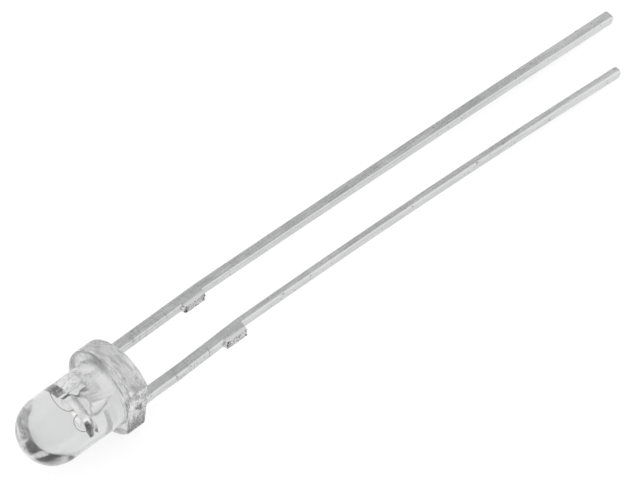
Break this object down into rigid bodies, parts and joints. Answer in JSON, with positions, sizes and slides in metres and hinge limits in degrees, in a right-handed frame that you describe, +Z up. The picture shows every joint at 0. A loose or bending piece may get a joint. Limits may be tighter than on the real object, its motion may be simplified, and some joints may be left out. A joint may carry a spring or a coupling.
{
  "type": "through hole led",
  "caption": "Clear round-dome through-hole light-emitting diode with a flanged, flatted body and long uneven leads with cut tie-bar stubs, lying as it rests.",
  "frame": {"origin": "centre of the seat, the back of the flange, on the axis of the body", "axes": "+X along the floor from the body towards the tips of the leads, +Y towards the side of the anode lead, +Z up with the part lying on its flange and lead tips"},
  "size_m": [0.0338, 0.0041, 0.0041],
  "materials": {
    "clear_epoxy": "water-clear moulded epoxy",
    "tinned_steel": "dull tin plate on steel, rough where sheared",
    "sapphire": "sawn chip",
    "die_glue": "cured adhesive",
    "bond_gold": "drawn gold wire"
  },
  "bodies": {
    "root": {"lens": "clear_epoxy", "anode_lead": "tinned_steel", "cathode_lead": "tinned_steel", "chip": "sapphire", "chip_adhesive": "die_glue", "anode_wire": "bond_gold", "cathode_wire": "bond_gold"}
  },
  "joints": []
}
